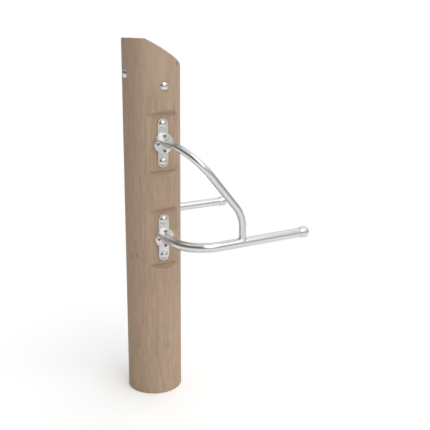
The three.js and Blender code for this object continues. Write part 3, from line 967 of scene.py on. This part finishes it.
tube_steel = polished_steel("tube_steel", TUBE_STEEL, TUBE_POLISH, dull_by_flange)
for side, sign in SIDES:
    across = sign * bar_across
    start = sign * flange_low.y
    bar = tube_mesh(f"bar_{side}", centreline([
        (0, start, bar_height), (0, across, bar_height), (bar_high.x, across, bar_height),
    ], BAR_BEND_RADIUS), bar_radius, BAR_WALL)
    add_piece(f"bar_{side}", bar, tube_steel, [f"bar_tube_{side}"])

    def coped(point):
        """The same point, lowered on to the bar's round."""
        reach = bar_radius + touch_gap
        drop = math.sqrt(reach ** 2 - (point.y - across) ** 2)
        return Vector((point.x, point.y, bar_height + drop))

    brace = tube_mesh(f"brace_{side}", centreline([
        (0, start, brace_height), (0, across, brace_height),
        (brace_foot, across, bar_height + BRACE_KNEE_HEIGHT),
        (brace_foot, across, bar_height + bar_radius),
    ], BRACE_BEND_RADIUS), brace_radius, BRACE_WALL, coped)
    add_piece(f"brace_{side}", brace, tube_steel, [f"brace_tube_{side}"])


# A small bead of weld metal, ground almost flush, runs round the foot of each brace and joins it
# to the bar. Its edge ripples a little, as the welder's hand moved on in steps.
BEAD_LEG = 0.0022
BEAD_STEPS = 96
BEAD_RIPPLES = 30
BEAD_RIPPLE = 0.00012
BEAD_MIDDLE_OUT = 0.55
BEAD_MIDDLE_UP = 0.45
BEAD_SHARP_ABOVE = math.radians(60)


def bead_mesh(side, across):
    reach = bar_radius + touch_gap

    def on_bar(angle, out, lift):
        x = (brace_radius + out) * math.cos(angle)
        y = (brace_radius + out) * math.sin(angle)
        return (brace_foot + x, across + y, bar_height + math.sqrt(reach ** 2 - y ** 2) + lift)

    def build(bm):
        rings = []
        for i in range(BEAD_STEPS):
            angle = 2 * math.pi * i / BEAD_STEPS
            leg = BEAD_LEG + BEAD_RIPPLE * math.sin(BEAD_RIPPLES * angle)
            section = ((touch_gap, 0), (leg, 0),
                       (BEAD_MIDDLE_OUT * leg, BEAD_MIDDLE_UP * leg), (touch_gap, leg))
            rings.append(ring_of(bm, [on_bar(angle, out, lift) for out, lift in section]))
        for lower, upper in zip(rings, rings[1:] + rings[:1]):
            bridge(bm, lower, upper)
    return mesh_from(f"brace_weld_{side}", build, BEAD_SHARP_ABOVE)


for side, sign in SIDES:
    add_piece(f"brace_weld_{side}", bead_mesh(side, sign * bar_across), weld_metal,
              [f"brace_foot_weld_{side}"])


# The end caps are thick steel sleeves over the bars' free ends. They swell from a thin mouth to a
# round blunt nose, so that a hand stops there and no edge is left to catch a body.
CAP_WALL = 0.00335
CAP_MOUTH_WALL = 0.0004
CAP_FLARE_LENGTH = 0.022
CAP_NOSE_RADIUS = 0.0115
CAP_FRONT_WALL = 0.014
CAP_STEPS = 14
CAP_SIDES = 96

cap_low, cap_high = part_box("end_cap_right")


def cap_mesh():
    length = cap_high.x - cap_low.x
    bore = bar_radius + touch_gap
    inside = length - CAP_FRONT_WALL
    mouth = bore + CAP_MOUTH_WALL
    body = bore + CAP_WALL
    lip = CAP_MOUTH_WALL / 4
    profile = [(0, inside), (bore, inside), (bore, 0), (mouth - lip, 0)]
    for i in range(CAP_STEPS + 1):
        share = i / CAP_STEPS
        swell = math.sin(math.pi / 2 * share)
        profile.append((mouth + (body - mouth) * swell, lip + CAP_FLARE_LENGTH * share))
    for i in range(CAP_STEPS + 1):
        angle = math.pi / 2 * i / CAP_STEPS
        profile.append((body - CAP_NOSE_RADIUS * (1 - math.cos(angle)),
                        length - CAP_NOSE_RADIUS * (1 - math.sin(angle))))
    profile.append((0, length))
    return turned("cap", profile, CAP_SIDES)


cap = cap_mesh()
cap_steel = polished_steel("cap_steel", TUBE_STEEL, TUBE_POLISH)
for side, sign in SIDES:
    place = Matrix.Translation((cap_low.x, sign * bar_across, bar_height))
    add_piece(f"cap_{side}", cap, cap_steel, [f"end_cap_{side}"],
              place @ Matrix.Rotation(math.pi / 2, 4, "Y"))


# The floor is a plain white studio sweep. Near the post it takes the light and its shadow, and
# further out it fades to the same white as the backdrop. The steel finds it dimmer far out.
FLOOR_SIZE = 12
FLOOR_SQUARES = 8
FLOOR_WHITE = (0.95, 0.95, 0.95, 1)
FLOOR_GLOW = 0.19
FADE_TO_WHITE = (0.5, 1.6)
FAR_FLOOR = (1.5, 4.0)
FAR_FLOOR_LIGHT = 0.66


def build_floor(bm):
    bmesh.ops.create_grid(bm, x_segments=FLOOR_SQUARES, y_segments=FLOOR_SQUARES, size=FLOOR_SIZE)


def floor_finish():
    material, s = new_finish("studio_floor")
    apart = s.length(s.node("TexCoord", {}, {}, "Object"))
    fade = s.ramp(apart, *FADE_TO_WHITE)
    seen = s.node("LightPath", {}, {}, "Is Camera Ray")
    lit = s.node("BsdfDiffuse", {}, {"Color": FLOOR_WHITE})
    lift = s.node("Emission", {}, {"Color": s.grey(seen * FLOOR_GLOW)})
    near = s.node("AddShader", {}, {0: lit, 1: lift})
    far = s.ramp(apart, *FAR_FLOOR) * (FAR_FLOOR_LIGHT - 1) + 1
    glow = s.node("Emission", {}, {"Color": s.grey(seen + (1 - seen) * far)})
    surface = s.node("MixShader", {}, {0: fade, 1: near, 2: glow})
    s.node("OutputMaterial", {}, {"Surface": surface})
    return material


floor = new_object("floor", mesh_from("floor", build_floor))
floor.data.materials.append(floor_finish())


# The studio is pale all round, with one large soft box high on the right of the camera, a small one
# below it and a weaker one beyond the bars. An unlit wall on the left gives the steel its dark
# bands, and the wall ahead of the bars is a little dimmer. The camera sees none of it but white.
PALE = 0.82
HORIZON = 0.54
HORIZON_TO_PALE = (0.10, 0.55)
DARK = 0.18
DARK_TURN = math.radians(178)
DARK_SIDES = (0.10, 0.56)
DARK_FOOT = (-0.05, 0.10)
DARK_TOP = (0.60, 0.88)
AHEAD_DIMMING = 0.22
AHEAD_SIDES = (0.70, 0.92)
AHEAD_FOOT = (-0.05, 0.05)
AHEAD_TOP = (0.20, 0.45)

MAIN_LIGHT = 1.5
BACK_LIGHT = 0.25
FRONT_LIGHT = 1.3

# Soft boxes as (the way to them, cosine at the outer edge, cosine where the light is full)
MAIN_BOX = ((0.18, -0.545, 0.82), 0.897, 0.957)
BACK_BOX = ((0.70, 0.255, 0.669), 0.88, 0.97)
FRONT_BOX = ((-0.05, -0.82, 0.568), 0.93, 0.97)


def studio():
    world = bpy.data.worlds.new("studio")
    bpy.context.scene.world = world
    world.use_nodes = True
    s = Shader(world.node_tree)
    way = s.node("TexCoord", {}, {}, "Generated")
    x, y, z = s.parts(way)

    def within(toward, edge, full):
        """From 0 outside a soft box to 1 where its light is full."""
        cosine = s.node("VectorMath", {"operation": "DOT_PRODUCT"}, {0: way, 1: toward}, "Value")
        return s.ramp(cosine, edge, full)

    level = (x * x + y * y + 1e-6) ** 0.5
    toward_dark = (x * math.cos(DARK_TURN) + y * math.sin(DARK_TURN)) / level
    dark = s.ramp(toward_dark, *DARK_SIDES) * s.ramp(z, *DARK_FOOT) * (1 - s.ramp(z, *DARK_TOP))
    ahead = s.ramp(x, *AHEAD_SIDES) * s.ramp(z, *AHEAD_FOOT) * (1 - s.ramp(z, *AHEAD_TOP))
    main = within(*MAIN_BOX)
    light = s.ramp(z, *HORIZON_TO_PALE) * (PALE - HORIZON) + HORIZON
    light = light + main * MAIN_LIGHT + within(*BACK_BOX) * BACK_LIGHT
    light = light * (1 - dark) + dark * DARK
    light = light * (1 - ahead * AHEAD_DIMMING)
    light = light + within(*FRONT_BOX) * (1 - main) * FRONT_LIGHT
    seen = s.node("LightPath", {}, {}, "Is Camera Ray")
    passing = s.node("LightPath", {}, {}, "Is Transmission Ray")
    white = seen | passing
    strength = white + (1 - white) * light
    surface = s.node("Background", {}, {"Color": s.grey(strength)})
    s.node("OutputWorld", {}, {"Surface": surface})


studio()


# The camera stands in front of the post's right side, a little above its head, and looks down.
# Its place, aim and lens come from the outlines of the post and the tubes in the photograph.
CAMERA_PLACE = (-1.1468, -2.2585, 1.3262)
CAMERA_AIM = (0.5127, 0.8201, -0.2540)
CAMERA_ROLL = math.radians(0.493)
CAMERA_LENS = 60.29
CAMERA_REACH = 60

camera = bpy.data.objects.new("camera", bpy.data.cameras.new("camera"))
bpy.context.scene.collection.objects.link(camera)
camera.data.lens = CAMERA_LENS
camera.data.clip_end = CAMERA_REACH
aim = Vector(CAMERA_AIM).to_track_quat("-Z", "Y").to_matrix().to_4x4()
camera.matrix_world = Matrix.Translation(CAMERA_PLACE) @ aim @ Matrix.Rotation(CAMERA_ROLL, 4, "Z")
bpy.context.scene.camera = camera
bpy.context.scene.view_settings.view_transform = "Standard"
